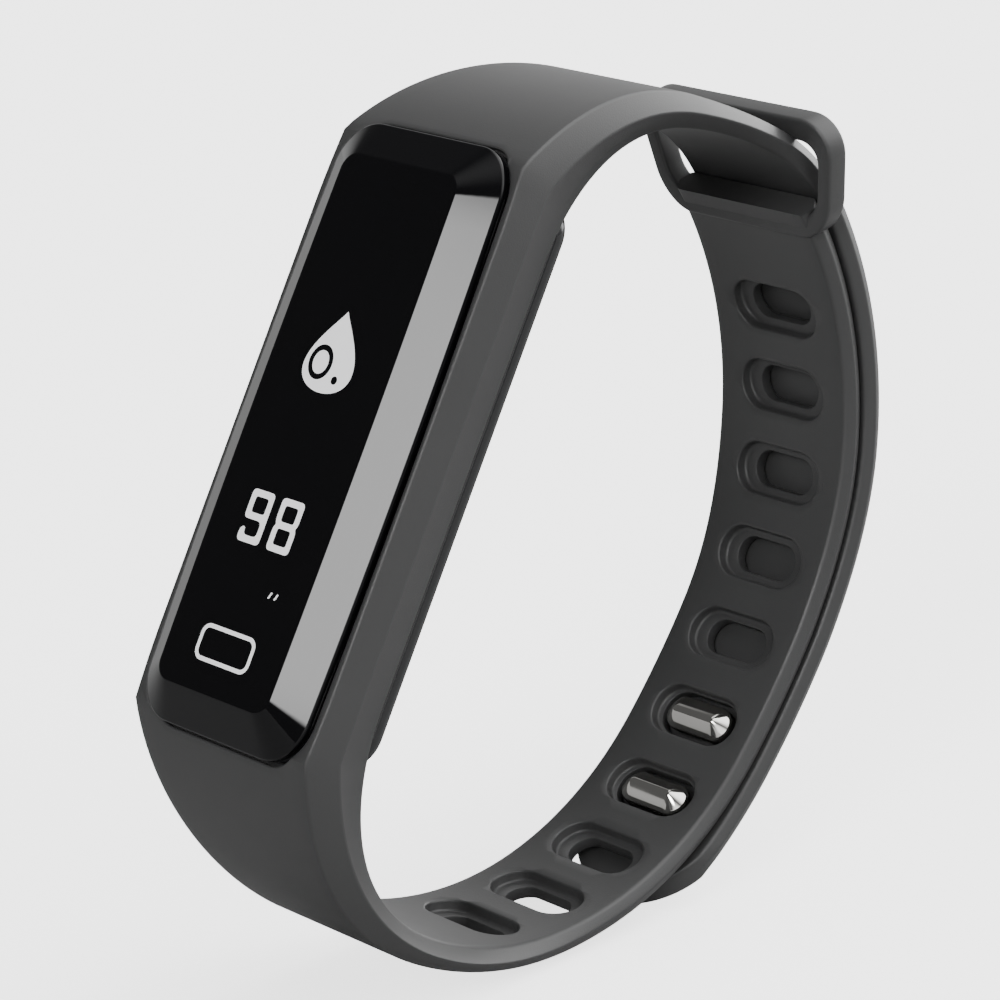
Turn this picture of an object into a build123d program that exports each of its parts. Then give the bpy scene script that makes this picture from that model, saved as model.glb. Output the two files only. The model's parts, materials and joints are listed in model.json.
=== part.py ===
"""Fitness tracker band: a snap-in capsule with a touch display in a one-piece rubber strap.

The band stands as it does on a table, leaning back on the underside of its strap.
Everything is first drawn in the capsule's own frame, in millimetres:
x runs from the screen into the wrist, y across the strap, z up along the screen,
with the origin at the middle of the wrist opening. lean() then tips it back.
"""
from build123d import *
from math import atan2, cos, pi, radians, sin, sqrt
import os

os.makedirs("parts", exist_ok=True)

# ---------------------------------------------------------------- driving dimensions
LEAN_ANGLE = 28.0            # how far the screen leans back from upright, degrees

GLASS_LENGTH = 47.0
GLASS_WIDTH = 18.5
GLASS_CORNER = 3.6
GLASS_BEVEL = 2.9            # width of the sloping border
GLASS_CROWN = 1.8            # height of the flat face above the border's foot
GLASS_RIM = 0.6              # upright edge below the border
GLASS_X = -30.0              # foot of the border
CAPSULE_DEPTH = 9.5          # from the foot of the border to the back cover's face
CAPSULE_LENGTH = 45.0        # body behind the glass
CAPSULE_WIDTH = 15.4
CAPSULE_CORNER = 3.2
CAPSULE_WALL = 1.0

FRAME_FRONT = 0.3            # depth of the strap's front face behind the border's foot
FRAME_BACK = 7.2             # depth of the strap's inner face at the capsule
FRAME_HALF = 10.4            # half width across the side ridges at the capsule
STRAP_HALF = 8.2             # the same along the strap
STRAP_THICK = 2.0
TAIL_HALF = 6.95
TAIL_GAP = 0.25              # between the lower strap and the tail lying on it
FIT_GAP = 0.2                # round the capsule in its window
SEAT_DEPTH = 1.6             # step in the strap that the glass drops into

glass_outline = (GLASS_WIDTH, GLASS_LENGTH, GLASS_CORNER)
capsule_outline = (CAPSULE_WIDTH, CAPSULE_LENGTH, CAPSULE_CORNER)

FIRST_BEND = 15.3            # inner radii of the lower strap, from the capsule round
SECOND_BEND = 27.0
THIRD_BEND = 72.0
LAST_BEND = 32.2

HOLE_COUNT = 10
HOLE_PITCH = 7.05
HOLE_FIRST = 11.2            # from the start of the second bend to the first hole
RECESS = (9.0, 4.4)          # oblong round each hole on the inner face
RECESS_DEPTH = 0.9
HOLE = (6.2, 2.9)            # through slot
HOLE_OPENED = (7.7, 3.8)     # slots that the studs hold open
STUD_HOLES = (3, 4)          # counted from 0 at the capsule's end
STUD = (7.0, 3.1)
STUD_PROUD = 2.45            # how far a stud stands out of the tail's inner face

LOOP_OUTSIDE = (17.4, 21.6)  # keeper loop across the strap, at its foot and at its top
LOOP_OPENING = (15.6, 18.2)
LOOP_BAR = 1.9
LOOP_CORNER = 3.4
LOOP_THICK = 2.0
LOOP_RISE = 8.4              # from the middle of the lower bar to the upper bar's

CLEAR = 0.1                  # how far a cut runs past the face it opens
SNUG = 0.03                  # gap on each side of a piece set in a pocket

y_axis = Vector(0, 1, 0)


# ---------------------------------------------------------------- small helpers
def lean(shape):
    """Tip the finished piece back about the wrist's axis."""
    return Rot(0, LEAN_ANGLE, 0) * shape


def write(name, *pieces):
    """Write one sub-part, leaning as the band stands; like pieces share one file."""
    solids = [solid for piece in pieces for solid in lean(piece).solids()]
    shape = solids[0] if len(solids) == 1 else Compound(solids)
    export_step(shape, f"parts/{name}.step")


def depth_plane(depth, z=0.0, y=0.0):
    """Plane across the capsule: local x is the band's y, local y is z, normal towards the wrist."""
    return Plane(origin=(GLASS_X + depth, y, z), x_dir=(0, -1, 0), z_dir=(1, 0, 0))


def inset(outline, by):
    """A rounded outline moved inwards; an outline is width across the strap, length, corner radius."""
    width, length, corner = outline
    return width - 2 * by, length - 2 * by, corner - by


def slab(outline, start, end, z=0.0, y=0.0):
    """Rounded block across the capsule, between two depths."""
    with BuildPart() as block:
        with BuildSketch(depth_plane(start, z, y)):
            RectangleRounded(*outline)
        extrude(amount=end - start)
    return block.part


def drum(radius, start, end, z=0.0, y=0.0):
    """Round block whose axis runs through the capsule's depth."""
    with BuildPart() as block:
        with BuildSketch(depth_plane(start, z, y)):
            Circle(radius)
        extrude(amount=end - start)
    return block.part


def tapered(foot, crown, start, end, z=0.0):
    """Block that runs from one rounded outline to another."""
    with BuildPart() as block:
        for outline, depth in ((foot, start), (crown, end)):
            with BuildSketch(depth_plane(depth, z)):
                RectangleRounded(*outline)
        loft()
    return block.part


def ribbon(points, thick, side, other_side):
    """Strip that follows a side-view path of depths and heights, between two values of y."""
    with BuildPart() as strip:
        with BuildSketch(Plane.XZ.offset(-other_side)):
            with BuildLine():
                Polyline(*[(GLASS_X + depth, z) for depth, z in points])
            trace(line_width=thick)
        extrude(amount=other_side - side)
    return strip.part


# ---------------------------------------------------------------- the strap's side view
class Bend:
    """One arc of a side-view curve that runs anticlockwise round its centre."""

    def __init__(self, centre, radius, start, sweep):
        self.centre = centre
        self.radius = radius
        self.start = start
        self.sweep = sweep

    def outward(self, angle):
        return cos(angle), sin(angle)

    def point(self, angle, offset=0.0):
        x, z = self.outward(angle)
        return (self.centre[0] + (self.radius + offset) * x,
                self.centre[1] + (self.radius + offset) * z)

    def following(self, radius, sweep):
        """The next arc, tangent to this one."""
        end = self.start + self.sweep
        x, z = self.outward(end)
        shift = self.radius - radius
        centre = (self.centre[0] + shift * x, self.centre[1] + shift * z)
        return Bend(centre, radius, end, sweep)

    def length(self):
        return self.radius * self.sweep


def section(point, normal, thick, inner, ridge, outer, ridge_at=0.5):
    """Six-sided cross-section of the strap, drawn at a point of its inner face."""
    def corner(half, height):
        return (point[0] + normal[0] * height, half, point[1] + normal[1] * height)

    half_profile = [(inner, 0.0), (ridge, thick * ridge_at), (outer, thick)]
    right = [corner(half, height) for half, height in half_profile]
    left = [corner(-half, height) for half, height in reversed(half_profile)]
    return Face(Wire.make_polygon([Vector(*p) for p in right + left], close=True))


def swept(bend, start, end, offset, thick, inner, ridge, outer):
    """Stretch of constant section along part of an arc, between two angles."""
    face = section(bend.point(start, offset), bend.outward(start), thick, inner, ridge, outer)
    axis = Axis((bend.centre[0], 0, bend.centre[1]), (0, -1, 0))
    return revolve(face, axis=axis, revolution_arc=(end - start) * 180 / pi)


# Inner face of the lower strap, which carries the holes.
root = Bend((GLASS_X + FRAME_BACK + FIRST_BEND, -16.9), FIRST_BEND, pi, radians(87.7))
second = root.following(SECOND_BEND, radians(79.6))
third = second.following(THIRD_BEND, radians(7.9))
last = third.following(LAST_BEND, radians(65.6))
lower_bends = (second, third, last)


def along(distance):
    """Bend and angle at a distance from the start of the second bend."""
    for bend in lower_bends:
        if distance <= bend.length() or bend is last:
            return bend, bend.start + distance / bend.radius
        distance -= bend.length()


# ---------------------------------------------------------------- strap round the capsule
strap_section = dict(inner=6.65, ridge=STRAP_HALF, outer=6.9)
run_section = dict(inner=6.4, ridge=6.85, outer=6.3)
crest_section = dict(inner=6.5, ridge=7.6, outer=6.4)
tail_section = dict(inner=6.6, ridge=TAIL_HALF, outer=6.4)
frame_section = dict(inner=8.3, ridge=FRAME_HALF, outer=10.0)
FRAME_RIDGE_AT = 0.62        # ridge height as a share of the frame's thickness
OUTER_RADIUS = 25.0          # front of the strap beyond the capsule's ends
OUTER_CENTRE = (GLASS_X + 21.5, 9.45)
ROUND_FROM = OUTER_CENTRE[1] + sqrt(OUTER_RADIUS ** 2 - (21.5 - FRAME_FRONT) ** 2)


def outer_distance(centre, direction):
    """How far it is from a shoulder's centre to the strap's outer side, along a direction."""
    side = 1 if centre[1] > 0 else -1
    if direction[0] < 0:
        to_front = (GLASS_X + FRAME_FRONT - centre[0]) / direction[0]
        if abs(centre[1] + to_front * direction[1]) < ROUND_FROM:
            return to_front
    cx, cz = OUTER_CENTRE[0] - centre[0], side * OUTER_CENTRE[1] - centre[1]
    middle = cx * direction[0] + cz * direction[1]
    return middle + sqrt(OUTER_RADIUS ** 2 - (cx * cx + cz * cz - middle * middle))


def blend_value(a, b, share):
    share = min(max(share, 0.0), 1.0)
    eased = share * share * (3 - 2 * share)
    return a + (b - a) * eased


def shoulder_section(bend, angle, turn, thick):
    """Section on the way from the capsule's frame to the strap; turn is counted from the frame."""
    share = turn / WIDTH_TURN
    sizes = {name: blend_value(frame_section[name], strap_section[name], share)
             for name in ("inner", "ridge", "outer")}
    ridge_at = blend_value(FRAME_RIDGE_AT, 0.5, share)
    return section(bend.point(angle), bend.outward(angle), thick, ridge_at=ridge_at, **sizes)


def shoulder(bend, side, end_turn, end_thick):
    """Sections round the bend beside the capsule; side is -1 below and 1 above."""
    sections = []
    for step in range(SHOULDER_STEPS + 1):
        turn = end_turn * step / SHOULDER_STEPS
        angle = pi - side * turn
        full = outer_distance(bend.centre, bend.outward(angle)) - bend.radius
        thick = blend_value(full, end_thick, (turn - THIN_FROM) / (end_turn - THIN_FROM))
        sections.append(shoulder_section(bend, angle, turn, thick))
    return sections


def lofted(sections):
    """Solid through a row of sections, with flat facets between neighbours."""
    return loft(sections, ruled=True)


# ---------------------------------------------------------------- the strap's upper run
CREST_BEND = 14.0            # inner radius where the strap dives through the keeper loop
TAIL_OFFSET = STRAP_THICK + TAIL_GAP
WIDTH_TURN = radians(80)
THIN_FROM = radians(60)
SHOULDER_STEPS = 14
RISE_STEPS = 5
NARROW_STEPS = 8
NARROW_LENGTH = 20.0         # of the lower run, from the start of the second bend

upper_root = Bend((root.centre[0], -root.centre[1]), FIRST_BEND, 0, 0)
strap_end = last.start + last.sweep
shift = last.radius + TAIL_OFFSET - CREST_BEND
crest_centre = (last.centre[0] + shift * cos(strap_end), last.centre[1] + shift * sin(strap_end))
crest = Bend(crest_centre, CREST_BEND, strap_end - 2 * pi, pi / 2 - (strap_end - 2 * pi))
crest_height = crest_centre[1] + CREST_BEND - upper_root.centre[1]
crest_reach = crest_centre[0] - upper_root.centre[0]
RISE_BEND = ((crest_reach ** 2 + crest_height ** 2 - FIRST_BEND ** 2)
             / (2 * (crest_height - FIRST_BEND)))
rise_centre = (crest_centre[0], crest_centre[1] + CREST_BEND - RISE_BEND)
rise_end = atan2(upper_root.centre[1] - rise_centre[1], upper_root.centre[0] - rise_centre[0])
rise = Bend(rise_centre, RISE_BEND, pi / 2, rise_end - pi / 2)
upper_turn = pi - rise_end


def rise_sections(start_thick):
    """Sections over the top, thinning and narrowing towards the keeper loop."""
    sections = []
    for step in range(RISE_STEPS + 1):
        share = step / RISE_STEPS
        angle = rise_end + (pi / 2 - rise_end) * share
        thick = blend_value(start_thick, STRAP_THICK, share)
        turn = upper_turn + (WIDTH_TURN - upper_turn) * share
        sizes = {name: blend_value(frame_section[name], strap_section[name], turn / WIDTH_TURN)
                 for name in ("inner", "ridge", "outer")}
        sizes = {name: blend_value(sizes[name], crest_section[name], share) for name in sizes}
        ridge_at = blend_value(FRAME_RIDGE_AT, 0.5, turn / WIDTH_TURN)
        face = section(rise.point(angle), rise.outward(angle), thick, ridge_at=ridge_at, **sizes)
        sections.append(face)
    return sections


upper_thick = (outer_distance(upper_root.centre, upper_root.outward(pi - upper_turn))
               - FIRST_BEND)

frame_block = extrude(shoulder_section(root, pi, 0, FRAME_BACK - FRAME_FRONT),
                      amount=-2 * root.centre[1], dir=(0, 0, 1))
lower_shoulder = lofted(shoulder(root, -1, root.sweep, STRAP_THICK))
upper_shoulder = lofted(shoulder(upper_root, 1, upper_turn, upper_thick))
rise_run = lofted(rise_sections(upper_thick))
crest_run = swept(crest, crest.start, pi / 2, 0, STRAP_THICK, **crest_section)

HOLES_END = sum(bend.length() for bend in lower_bends)


def narrowing():
    """Sections where the lower run narrows from the shoulder's width to its own."""
    sections = []
    for step in range(NARROW_STEPS + 1):
        share = step / NARROW_STEPS
        angle = second.start + NARROW_LENGTH / second.radius * share
        sizes = {name: blend_value(strap_section[name], run_section[name], share) for name in run_section}
        sections.append(section(second.point(angle), second.outward(angle), STRAP_THICK, **sizes))
    return sections


lower_run = [lofted(narrowing())]
lower_run += [swept(bend, first, bend.start + bend.sweep, 0, STRAP_THICK, **run_section)
              for bend, first in ((second, second.start + NARROW_LENGTH / second.radius),
                                  (third, third.start), (last, last.start))]


def tail_run(start, end):
    """The tail's stretch between two distances along the lower strap's inner face."""
    pieces = []
    done = 0.0
    for bend in lower_bends:
        low = max(start, done)
        high = min(end, done + bend.length())
        if high > low:
            first = bend.start + (low - done) / bend.radius
            final = bend.start + (high - done) / bend.radius
            pieces.append(swept(bend, first, final, TAIL_OFFSET, STRAP_THICK, **tail_section))
        done += bend.length()
    return pieces


TAIL_SPLIT = 49.7            # where the lifting end starts, from the second bend on
TAIL_TIP = 24.1
tail_root = tail_run(TAIL_SPLIT, HOLES_END)


# ---------------------------------------------------------------- keeper loop
LOOP_TILT = 41.0             # slope of the loop's plane away from upright
LOOP_FOOT = (GLASS_X + 35.6, 29.9)
loop_up = Vector(-sin(radians(LOOP_TILT)), 0, cos(radians(LOOP_TILT)))
loop_centre = Vector(LOOP_FOOT[0], 0, LOOP_FOOT[1]) + loop_up * (LOOP_RISE / 2)
loop_plane = Plane(origin=loop_centre, x_dir=y_axis, z_dir=y_axis.cross(loop_up))


def widening(widths, height, corner):
    """Rounded outline that widens from its foot to its top."""
    low, high = (width / 2 for width in widths)
    shape = Polygon((-low, -height / 2), (low, -height / 2), (high, height / 2), (-high, height / 2))
    return fillet(shape.vertices(), corner)


loop_face = widening(LOOP_OUTSIDE, LOOP_RISE + LOOP_BAR, LOOP_CORNER)
loop_face = loop_face - widening(LOOP_OPENING, LOOP_RISE - LOOP_BAR, LOOP_CORNER - LOOP_BAR)
keeper = extrude(loop_plane * loop_face, amount=LOOP_THICK / 2, both=True)


# ---------------------------------------------------------------- holes in the lower strap
def hole_plane(distance, offset=0.0):
    """Plane on the inner face: local x runs across the strap, y towards the keeper loop."""
    bend, angle = along(distance)
    x, z = bend.point(angle, offset)
    tangent = Vector(-sin(angle), 0, cos(angle))
    return Plane(origin=(x, 0, z), x_dir=y_axis, z_dir=y_axis.cross(tangent))


def stadium(plane, size, start, end):
    """Oblong bar across the strap; depths grow outwards from the plane."""
    with BuildPart() as bar:
        with BuildSketch(plane.offset(start)):
            SlotOverall(*size)
        extrude(amount=end - start)
    return bar.part


def bevelled(plane, size, bevel, top):
    """Roof of a stud: an oblong that narrows towards its top."""
    with BuildPart() as roof:
        with BuildSketch(plane.offset(top + bevel)):
            SlotOverall(*size)
        with BuildSketch(plane.offset(top)):
            SlotOverall(size[0] - 2 * bevel, size[1] - 2 * bevel)
        loft()
    return roof.part


hole_distances = [HOLE_FIRST + HOLE_PITCH * index for index in range(HOLE_COUNT)]
strap_cuts = []
for index, distance in enumerate(hole_distances):
    plane = hole_plane(distance)
    size = HOLE_OPENED if index in STUD_HOLES else HOLE
    strap_cuts.append(stadium(plane, RECESS, -1.0, RECESS_DEPTH))
    strap_cuts.append(stadium(plane, size, 0.0, STRAP_THICK + CLEAR))

strap_body = frame_block + lower_shoulder + upper_shoulder + rise_run + crest_run
for piece in lower_run + tail_root + [keeper]:
    strap_body = strap_body + piece
window = slab(inset(capsule_outline, -FIT_GAP), -1, CAPSULE_DEPTH + 4)
seat = slab(inset(glass_outline, -FIT_GAP), -3, SEAT_DEPTH)
strap_body = strap_body - window - seat
for cut in strap_cuts:
    strap_body = strap_body - cut
write("strap_body", strap_body)


# ---------------------------------------------------------------- tail end and clasp
CLASP_MIDDLE = (hole_distances[STUD_HOLES[0]] + hole_distances[STUD_HOLES[1]]) / 2
PLATE = (7.4, 14.4, 3.2)     # across the strap, along it, corner radius
PLATE_THICK = 0.6
PLATE_DEPTH = 1.55           # plate's outer face out from the tail's inner face, at its middle
STUD_NECK = (4.8, 2.0)
STUD_BEVEL = 0.9             # slope of the head's roof, as wide as it is high
STUD_NECK_END = 0.85         # height of the head's underside above the lower strap's inner face
OUT_OF_STRAP = 6.0           # any distance that is past the strap's outer face
SPLIT_GAP = 0.1              # between the lifting end and the rest of the tail

tail_end = tail_run(TAIL_TIP, TAIL_SPLIT - SPLIT_GAP)
strap_tail = tail_end[0]
for piece in tail_end[1:]:
    strap_tail = strap_tail + piece
tip_plane = hole_plane(TAIL_TIP + TAIL_HALF, TAIL_OFFSET)
with BuildPart() as tip_waste:
    with BuildSketch(tip_plane):
        with Locations((0, -TAIL_HALF)):
            Rectangle(4 * TAIL_HALF, 2 * TAIL_HALF)
        Circle(TAIL_HALF + 0.02, mode=Mode.SUBTRACT)
    extrude(amount=OUT_OF_STRAP, both=True)
strap_tail = strap_tail - tip_waste.part

plate_plane = hole_plane(CLASP_MIDDLE, TAIL_OFFSET + PLATE_DEPTH)
with BuildPart() as plate:
    with BuildSketch(plate_plane):
        RectangleRounded(*PLATE)
    extrude(amount=-PLATE_THICK)
with BuildPart() as plate_pocket:
    with BuildSketch(plate_plane.offset(-PLATE_THICK)):
        RectangleRounded(*inset(PLATE, -SNUG))
    extrude(amount=OUT_OF_STRAP)
strap_tail = strap_tail - plate_pocket.part
with BuildPart() as behind_plate:
    with BuildSketch(plate_plane.offset(-PLATE_THICK)):
        Rectangle(4 * PLATE[0], 2 * PLATE[1])
    extrude(amount=OUT_OF_STRAP)

studs = []
for index in STUD_HOLES:
    plane = hole_plane(hole_distances[index])
    head_top = TAIL_OFFSET - STUD_PROUD
    head = stadium(plane, STUD, head_top + STUD_BEVEL, STUD_NECK_END)
    head = head + bevelled(plane, STUD, STUD_BEVEL, head_top)
    neck = stadium(plane, STUD_NECK, STUD_NECK_END - CLEAR, OUT_OF_STRAP) - behind_plate.part
    studs.append(head + neck)
    neck_hole = (STUD_NECK[0] + 2 * SNUG, STUD_NECK[1] + 2 * SNUG)
    strap_tail = strap_tail - stadium(plane, neck_hole, STRAP_THICK / 2, OUT_OF_STRAP)
write("strap_tail", strap_tail)
write("clasp_plate", plate.part)
write("clasp_studs", *studs)


# ---------------------------------------------------------------- capsule shell
ADHESIVE_BACK = 0.75         # depths behind the foot of the glass border
SHELL_FRONT = 1.5
FRAME_LIP_BACK = 2.6
SHELL_BACK = 8.0             # seam between housing and back cover
COVER_EDGE = 8.6
DISPLAY_POCKET = (12.4, 40.0, 1.0)
DISPLAY_POCKET_FRONT = -0.8

flat_face = (GLASS_WIDTH - 2 * GLASS_BEVEL, GLASS_LENGTH - 2 * GLASS_BEVEL, 1.2)
cavity = inset(capsule_outline, CAPSULE_WALL)

front_glass = slab(glass_outline, 0, GLASS_RIM) + tapered(glass_outline, flat_face, 0, -GLASS_CROWN)
front_glass = front_glass - slab(DISPLAY_POCKET, DISPLAY_POCKET_FRONT, GLASS_RIM + CLEAR)
write("front_glass", front_glass)

lens_adhesive = slab(inset(glass_outline, 0.55), GLASS_RIM, ADHESIVE_BACK)
lens_adhesive = lens_adhesive - slab(inset(DISPLAY_POCKET, -0.3), 0, SHELL_FRONT)
write("lens_adhesive", lens_adhesive)

front_frame = slab(inset(glass_outline, 0.1), ADHESIVE_BACK, SHELL_FRONT)
front_frame = front_frame + slab(inset(cavity, 0.05), SHELL_FRONT, FRAME_LIP_BACK)
front_frame = front_frame - slab((11.9, 40.2, 1.0), 0, FRAME_LIP_BACK + CLEAR)
write("front_frame", front_frame)

SEAL_OUTSIDE = inset(capsule_outline, 0.35)
SEAL_WIDTH = 0.3
SEAL_DEPTH = 0.42
housing = slab(capsule_outline, SHELL_FRONT, SHELL_BACK) - slab(cavity, 0, CAPSULE_DEPTH)
seal_groove = slab(inset(SEAL_OUTSIDE, -SNUG), SHELL_BACK - SEAL_DEPTH - SNUG, CAPSULE_DEPTH)
seal_groove = seal_groove - slab(inset(SEAL_OUTSIDE, SEAL_WIDTH + SNUG), 0, CAPSULE_DEPTH + CLEAR)
housing = housing - seal_groove
write("housing", housing)

housing_seal = slab(SEAL_OUTSIDE, SHELL_BACK - SEAL_DEPTH, SHELL_BACK)
housing_seal = housing_seal - slab(inset(SEAL_OUTSIDE, SEAL_WIDTH), 0, CAPSULE_DEPTH)
write("housing_seal", housing_seal)

LENS = (9.6, 5.2, 2.2)
LENS_Z = 2.0
LENS_FRONT = 8.85
LENS_BACK = 9.9
CONTACT_RADIUS = 0.9
CONTACT_Y = (-2.6, 2.6)
CONTACT_Z = -16.5
cover_outline = inset(capsule_outline, 0.15)
rear_cover = slab(cover_outline, SHELL_BACK, COVER_EDGE)
rear_cover = rear_cover + tapered(cover_outline, inset(cover_outline, 0.8), COVER_EDGE, CAPSULE_DEPTH)
rear_cover = rear_cover - slab(inset(cavity, 0.4), SHELL_BACK - 1, COVER_EDGE + CLEAR)
rear_cover = rear_cover - slab(LENS, SHELL_BACK, LENS_BACK, LENS_Z)
for y in CONTACT_Y:
    rear_cover = rear_cover - drum(CONTACT_RADIUS + SNUG, SHELL_BACK, LENS_BACK, CONTACT_Z, y)
write("rear_cover", rear_cover)

lens_outline = inset(LENS, SNUG)
sensor_lens = slab(lens_outline, LENS_FRONT, CAPSULE_DEPTH, LENS_Z)
sensor_lens = sensor_lens + tapered(lens_outline, inset(LENS, 0.65), CAPSULE_DEPTH, LENS_BACK, LENS_Z)
write("sensor_lens", sensor_lens)

contacts = [drum(CONTACT_RADIUS, 8.3, CAPSULE_DEPTH + 0.05, CONTACT_Z, y) for y in CONTACT_Y]
write("charging_contacts", *contacts)


# ---------------------------------------------------------------- display and touch key
DISPLAY = (12.0, 26.0, 0.5)
DISPLAY_FRONT = -0.75
DISPLAY_BACK = 0.25
DISPLAY_Z = -1.4
KEY_Z = -17.0
FLEX_Z = 15.4                # where the display's flat cable turns inwards
FLEX_HALF = 4.0

write("display_panel", slab(DISPLAY, DISPLAY_FRONT, DISPLAY_BACK, DISPLAY_Z))

display_end = DISPLAY_Z + DISPLAY[1] / 2
flex_path = [(-0.2, display_end), (-0.2, FLEX_Z), (2.65, FLEX_Z)]
write("display_flex", ribbon(flex_path, 0.18, -FLEX_HALF, FLEX_HALF))

write("touch_pad", slab((9.0, 4.6, 0.8), -0.78, -0.48, KEY_Z))


# ---------------------------------------------------------------- inner chassis and main board
BOARD = (12.6, 41.4, 1.2)
BOARD_FRONT = 2.75
BOARD_THICK = 0.8
BOARD_BACK = BOARD_FRONT + BOARD_THICK
CHASSIS = (11.7, 40.0, 0.9)
CHASSIS_FRONT = 0.6
FLEX_SLOT = (9.0, 2.6, 0.4)
SCREW_Y = 5.0
SCREW_Z = 19.2
SCREW_SHANK = 0.5
SCREW_HEAD = 0.95
SCREW_HEAD_HEIGHT = 0.6
SCREW_TIP = 1.4              # depth that the screws reach in the chassis
CROSS_LENGTH = 1.3
CROSS_WIDTH = 0.3
screw_places = [(y, z) for y in (-SCREW_Y, SCREW_Y) for z in (-SCREW_Z, SCREW_Z)]

inner_chassis = slab(CHASSIS, CHASSIS_FRONT, BOARD_FRONT)
inner_chassis = inner_chassis - slab((8.6, 12.0, 0.8), 0, BOARD_BACK)
inner_chassis = inner_chassis - slab(FLEX_SLOT, 0, BOARD_BACK, FLEX_Z)
inner_chassis = inner_chassis - slab((9.0, 6.0, 0.8), 0, 1.4, KEY_Z + 0.5)
main_board = slab(BOARD, BOARD_FRONT, BOARD_BACK) - slab(FLEX_SLOT, 2, BOARD_BACK + CLEAR, FLEX_Z)
for y, z in screw_places:
    inner_chassis = inner_chassis - drum(SCREW_SHANK + 0.04, 1.2, BOARD_BACK, z, y)
    main_board = main_board - drum(SCREW_SHANK + 0.06, 2, BOARD_BACK + CLEAR, z, y)
write("inner_chassis", inner_chassis)
write("main_board", main_board)

screws = []
for y, z in screw_places:
    screw = drum(SCREW_HEAD, BOARD_BACK, BOARD_BACK + SCREW_HEAD_HEIGHT, z, y)
    screw = screw + drum(SCREW_SHANK, SCREW_TIP, BOARD_BACK + CLEAR, z, y)
    for groove in ((CROSS_WIDTH, CROSS_LENGTH, 0.1), (CROSS_LENGTH, CROSS_WIDTH, 0.1)):
        screw = screw - slab(groove, BOARD_BACK + SCREW_HEAD_HEIGHT / 2, BOARD_BACK + 1, z, y)
    screws.append(screw)
write("board_screws", *screws)

chips = {                    # width, length, height, then the place along and across the board
    "processor_chip": (5.0, 5.0, 0.75, -12.6, 0.0),
    "memory_chip": (3.0, 3.6, 0.6, -6.2, 2.6),
    "motion_sensor_chip": (2.0, 2.0, 0.6, -6.2, -3.2),
    "charger_chip": (2.0, 2.0, 0.6, -1.6, -3.2),
    "radio_antenna": (1.6, 6.4, 0.7, 5.6, 4.6),
    "display_connector": (8.0, 1.8, 0.6, 12.9, 0.0),
}
for name, (width, length, height, z, y) in chips.items():
    write(name, slab((width, length, 0.12), BOARD_BACK, BOARD_BACK + height, z, y))


# ---------------------------------------------------------------- battery
BATTERY = (11.4, 23.0, 1.0)
BATTERY_FRONT = 4.45
BATTERY_THICK = 2.9
BATTERY_Z = -6.4
battery = slab(BATTERY, BATTERY_FRONT, BATTERY_FRONT + BATTERY_THICK, BATTERY_Z)
battery = fillet(battery.edges().filter_by(Axis.Z), 1.0)
write("battery_cell", battery)

processor = chips["processor_chip"]
battery_pad = slab((8.0, 5.0, 0.4), BOARD_BACK + processor[2], BATTERY_FRONT, processor[3])
write("battery_pad", battery_pad)

LEAD_THICK = 0.55
LEAD_TURN = 7.2              # height where the leads turn down to the board
battery_end = BATTERY_Z + BATTERY[1] / 2 + 0.3
lead_path = [(6.0, battery_end), (6.0, LEAD_TURN), (BOARD_BACK + 0.3, LEAD_TURN)]
leads = [ribbon(lead_path, LEAD_THICK, y, y + LEAD_THICK) for y in (-2.0, -0.8)]
write("battery_leads", *leads)


# ---------------------------------------------------------------- vibration motor
MOTOR_Z = 12.4
MOTOR_RADIUS = 4.0
MOTOR_FRONT = 4.5
MOTOR_BACK = 7.3
MOTOR_SKIN = 0.2
SHAFT_RADIUS = 0.38
BASE_BACK = MOTOR_FRONT + 0.3
WEIGHT = (3.5, 5.75, 6.85)   # radius, then front and back depths
HUB_RADIUS = 1.3
HUB_HOLE = 0.43
shaft_hole = drum(SHAFT_RADIUS + 0.02, MOTOR_FRONT - 1, MOTOR_BACK + 1, MOTOR_Z)

write("motor_base", drum(MOTOR_RADIUS, MOTOR_FRONT, BASE_BACK, MOTOR_Z) - shaft_hole)

motor_cover = drum(MOTOR_RADIUS, BASE_BACK, MOTOR_BACK, MOTOR_Z)
motor_inside = drum(MOTOR_RADIUS - MOTOR_SKIN, MOTOR_FRONT, MOTOR_BACK - MOTOR_SKIN, MOTOR_Z)
write("motor_cover", motor_cover - motor_inside - shaft_hole)

write("motor_shaft", drum(SHAFT_RADIUS, MOTOR_FRONT, MOTOR_BACK, MOTOR_Z))
magnet = drum(2.0, BASE_BACK, BASE_BACK + 0.7, MOTOR_Z) - drum(1.0, MOTOR_FRONT, MOTOR_BACK, MOTOR_Z)
write("motor_magnet", magnet)

lower_half = slab((12, 8, 0.1), MOTOR_FRONT, MOTOR_BACK, MOTOR_Z - 4.9)
weight = drum(*WEIGHT, MOTOR_Z) - lower_half + drum(HUB_RADIUS, *WEIGHT[1:], MOTOR_Z)
write("vibration_weight", weight - drum(HUB_HOLE, MOTOR_FRONT, MOTOR_BACK, MOTOR_Z))


# ---------------------------------------------------------------- sensor board
SENSOR_BOARD_FRONT = 7.7
SENSOR_BOARD_BACK = 8.25
LED = (1.5, 1.5, 0.1)
LED_Y = 3.2
LIGHT_SENSOR = (2.6, 2.6, 0.1)
write("sensor_board", slab((11.0, 9.4, 0.8), SENSOR_BOARD_FRONT, SENSOR_BOARD_BACK, LENS_Z))
leds = [slab(LED, SENSOR_BOARD_BACK, 8.7, LENS_Z, y) for y in (-LED_Y, LED_Y)]
write("green_leds", *leds)
write("light_sensor", slab(LIGHT_SENSOR, SENSOR_BOARD_BACK, 8.75, LENS_Z))
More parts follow.
